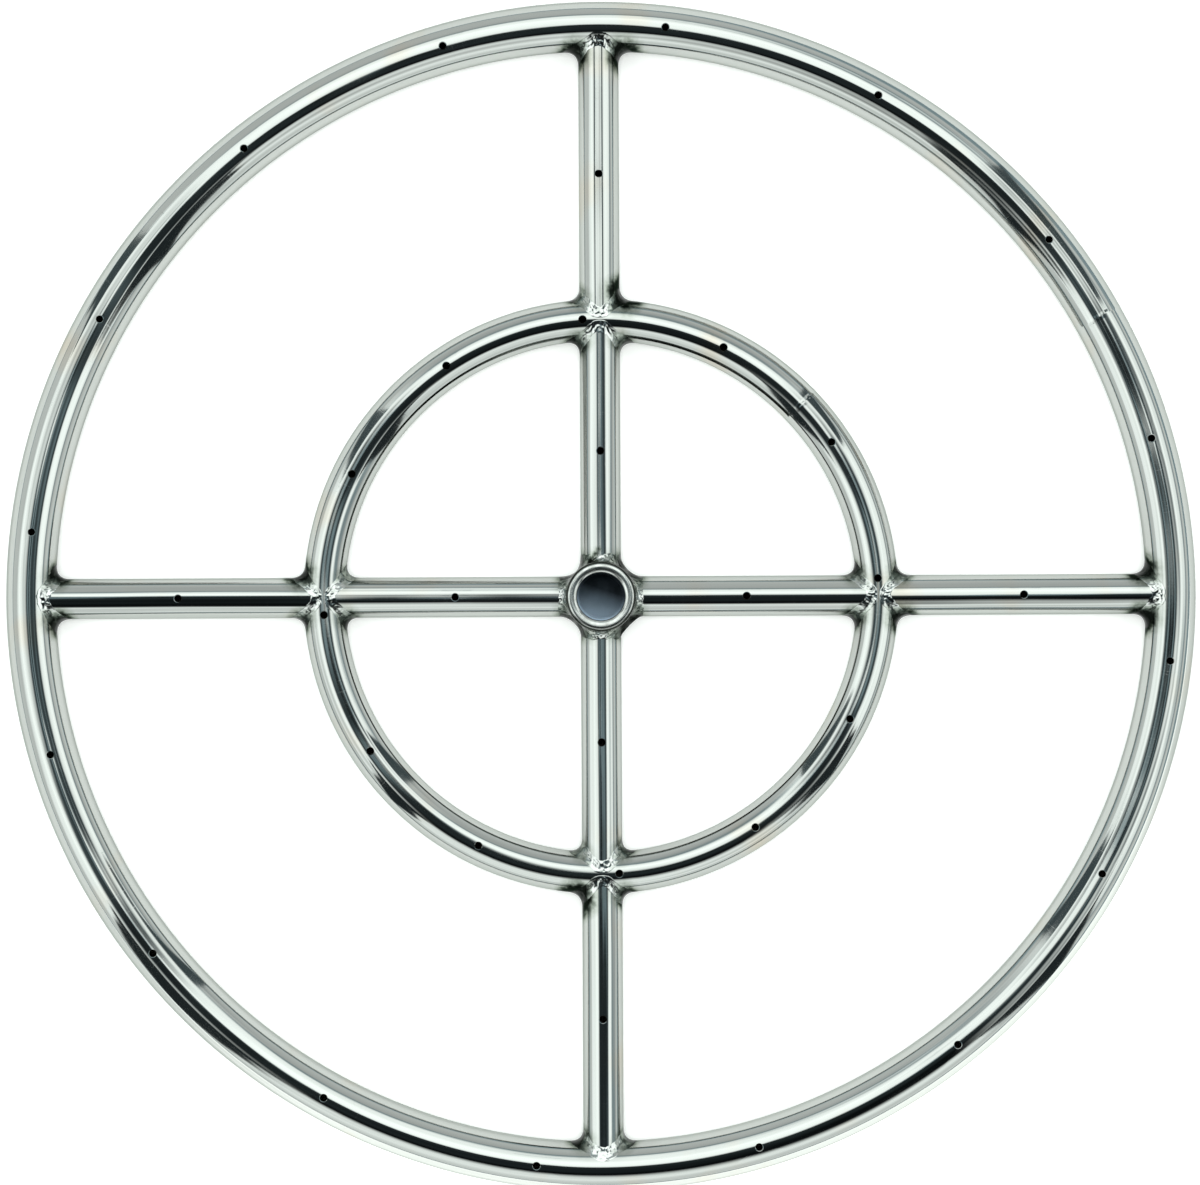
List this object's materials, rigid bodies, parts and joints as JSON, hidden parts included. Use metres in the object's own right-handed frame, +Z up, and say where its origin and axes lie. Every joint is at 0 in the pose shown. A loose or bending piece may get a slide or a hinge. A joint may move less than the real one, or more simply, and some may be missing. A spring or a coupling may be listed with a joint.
{
  "type": "double-ring gas burner",
  "caption": "Flat gas burner: concentric stainless tube rings on a cross of spokes from a threaded inlet hub, welded at every joint and drilled with flame ports on top.",
  "frame": {"origin": "the hub's axis at the plane that the outer ring stands on", "axes": "+Z up out of the hub's inlet, the way the ports face; +X out along the right spokes and +Y out along the rear spokes, which point right and up in the picture"},
  "size_m": [0.4572, 0.4572, 0.028],
  "materials": {
    "polished_tube": "mirror polished",
    "turned_steel": "turned",
    "weld_metal": "as welded, brushed"
  },
  "bodies": {
    "root": {"outer_ring": "polished_tube", "inner_ring": "polished_tube", "inner_spoke_right": "polished_tube", "outer_spoke_right": "polished_tube", "inner_spoke_rear": "polished_tube", "outer_spoke_rear": "polished_tube", "inner_spoke_left": "polished_tube", "outer_spoke_left": "polished_tube", "inner_spoke_front": "polished_tube", "outer_spoke_front": "polished_tube", "hub": "turned_steel", "hub_end_plug": "turned_steel", "outer_ring_seam_weld": "weld_metal", "inner_ring_seam_weld": "weld_metal", "hub_end_plug_weld": "weld_metal", "hub_weld_right": "weld_metal", "inner_ring_inside_weld_right": "weld_metal", "inner_ring_outside_weld_right": "weld_metal", "outer_ring_weld_right": "weld_metal", "hub_weld_rear": "weld_metal", "inner_ring_inside_weld_rear": "weld_metal", "inner_ring_outside_weld_rear": "weld_metal", "outer_ring_weld_rear": "weld_metal", "hub_weld_left": "weld_metal", "inner_ring_inside_weld_left": "weld_metal", "inner_ring_outside_weld_left": "weld_metal", "outer_ring_weld_left": "weld_metal", "hub_weld_front": "weld_metal", "inner_ring_inside_weld_front": "weld_metal", "inner_ring_outside_weld_front": "weld_metal", "outer_ring_weld_front": "weld_metal"}
  },
  "joints": []
}
